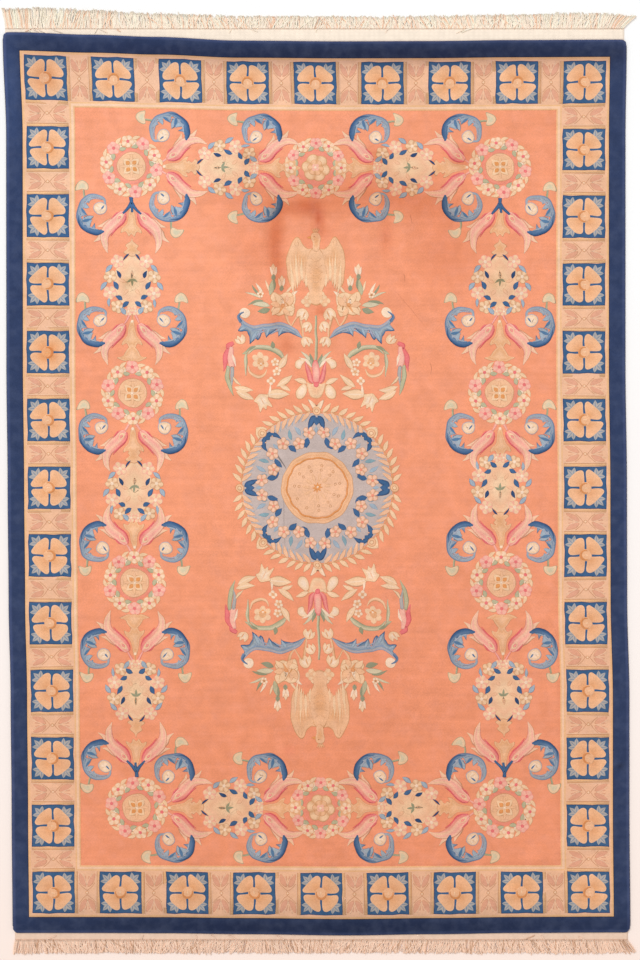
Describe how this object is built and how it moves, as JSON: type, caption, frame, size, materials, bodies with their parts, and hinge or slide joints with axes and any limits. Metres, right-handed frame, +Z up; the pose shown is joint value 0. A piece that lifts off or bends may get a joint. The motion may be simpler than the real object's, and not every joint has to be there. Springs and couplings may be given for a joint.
{
  "type": "pile rug",
  "caption": "Rectangular wool pile rug with a dark guard border, a tiled band, flower wreaths and a round centre medallion. Woven end webs carry cut fringe. It lies flat on a floor.",
  "frame": {"origin": "on the floor, at the centre of the underside of the rug's bounding box, fringes included", "axes": "+X across the rug to the picture's right, +Y along it to the picture's top, +Z up out of the pile"},
  "size_m": [2.5635, 3.793, 0.0125],
  "materials": {
    "wool_pile": "matt cut wool pile",
    "selvedge_wool": "matt overcast wool yarn",
    "fringe_cotton": "matt unbleached cotton"
  },
  "bodies": {
    "root": {"rug_pile": "wool_pile", "selvedge_left": "selvedge_wool", "selvedge_right": "selvedge_wool", "fringe_far": "fringe_cotton", "fringe_near": "fringe_cotton"}
  },
  "joints": []
}
